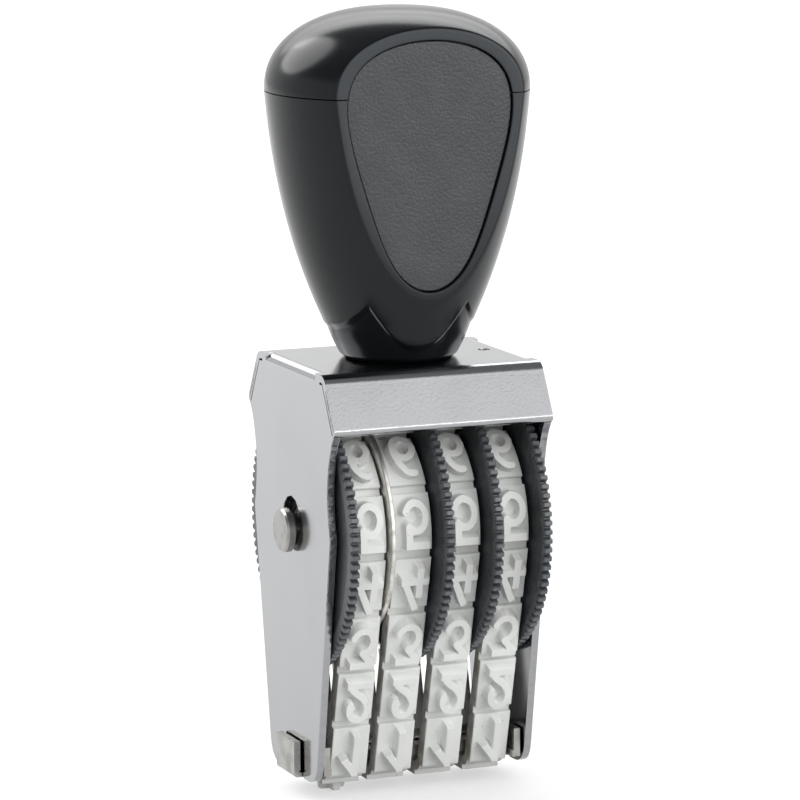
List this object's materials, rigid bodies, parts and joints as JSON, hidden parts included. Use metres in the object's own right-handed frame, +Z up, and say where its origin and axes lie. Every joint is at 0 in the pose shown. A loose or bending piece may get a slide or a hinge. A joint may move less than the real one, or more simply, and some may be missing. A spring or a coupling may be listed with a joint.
{
  "type": "hand numbering stamp",
  "caption": "Upright hand stamp: endless number bands over knurled thumb wheels in a bent sheet frame, with a pear-shaped handle on top.",
  "frame": {"origin": "on the floor under the middle of the stamp, level with the print faces", "axes": "+X to the stamp's right along the axle, +Y to the rear, +Z up to the handle's top"},
  "size_m": [0.0354, 0.038, 0.106],
  "materials": {
    "frame_chrome": "bright chrome plate on bent sheet",
    "axle_nickel": "satin nickel, turned",
    "bridge_steel": "satin",
    "wheel_plastic": "moulded, semi-matte",
    "band_rubber": "matte moulded rubber",
    "disc_steel": "satin edge",
    "handle_plastic": "polished, with soft highlights",
    "label_plastic": "fine leather grain",
    "screw_steel": "zinc plate",
    "insert_brass": "turned"
  },
  "bodies": {
    "stamp": {"frame": "frame_chrome", "axle": "axle_nickel", "bridge": "bridge_steel", "number_band_1": "band_rubber", "number_band_2": "band_rubber", "number_band_3": "band_rubber", "number_band_4": "band_rubber", "separator_disc": "disc_steel", "handle_body": "handle_plastic", "handle_cap": "handle_plastic", "front_label_plate": "label_plastic", "rear_label_plate": "label_plastic", "handle_screw": "screw_steel", "lock_washer": "screw_steel", "threaded_insert": "insert_brass"},
    "wheel_1": {"thumb_wheel_1": "wheel_plastic"},
    "wheel_2": {"thumb_wheel_2": "wheel_plastic"},
    "wheel_3": {"thumb_wheel_3": "wheel_plastic"},
    "wheel_4": {"thumb_wheel_4": "wheel_plastic"}
  },
  "joints": [
    {"name": "wheel_1_spin", "type": "hinge", "parent": "stamp", "child": "wheel_1", "pos_m": [0, 0, 0.0361], "axis": [1, 0, 0], "continuous": true},
    {"name": "wheel_2_spin", "type": "hinge", "parent": "stamp", "child": "wheel_2", "pos_m": [0, 0, 0.0361], "axis": [1, 0, 0], "continuous": true},
    {"name": "wheel_3_spin", "type": "hinge", "parent": "stamp", "child": "wheel_3", "pos_m": [0, 0, 0.0361], "axis": [1, 0, 0], "continuous": true},
    {"name": "wheel_4_spin", "type": "hinge", "parent": "stamp", "child": "wheel_4", "pos_m": [0, 0, 0.0361], "axis": [1, 0, 0], "continuous": true}
  ]
}
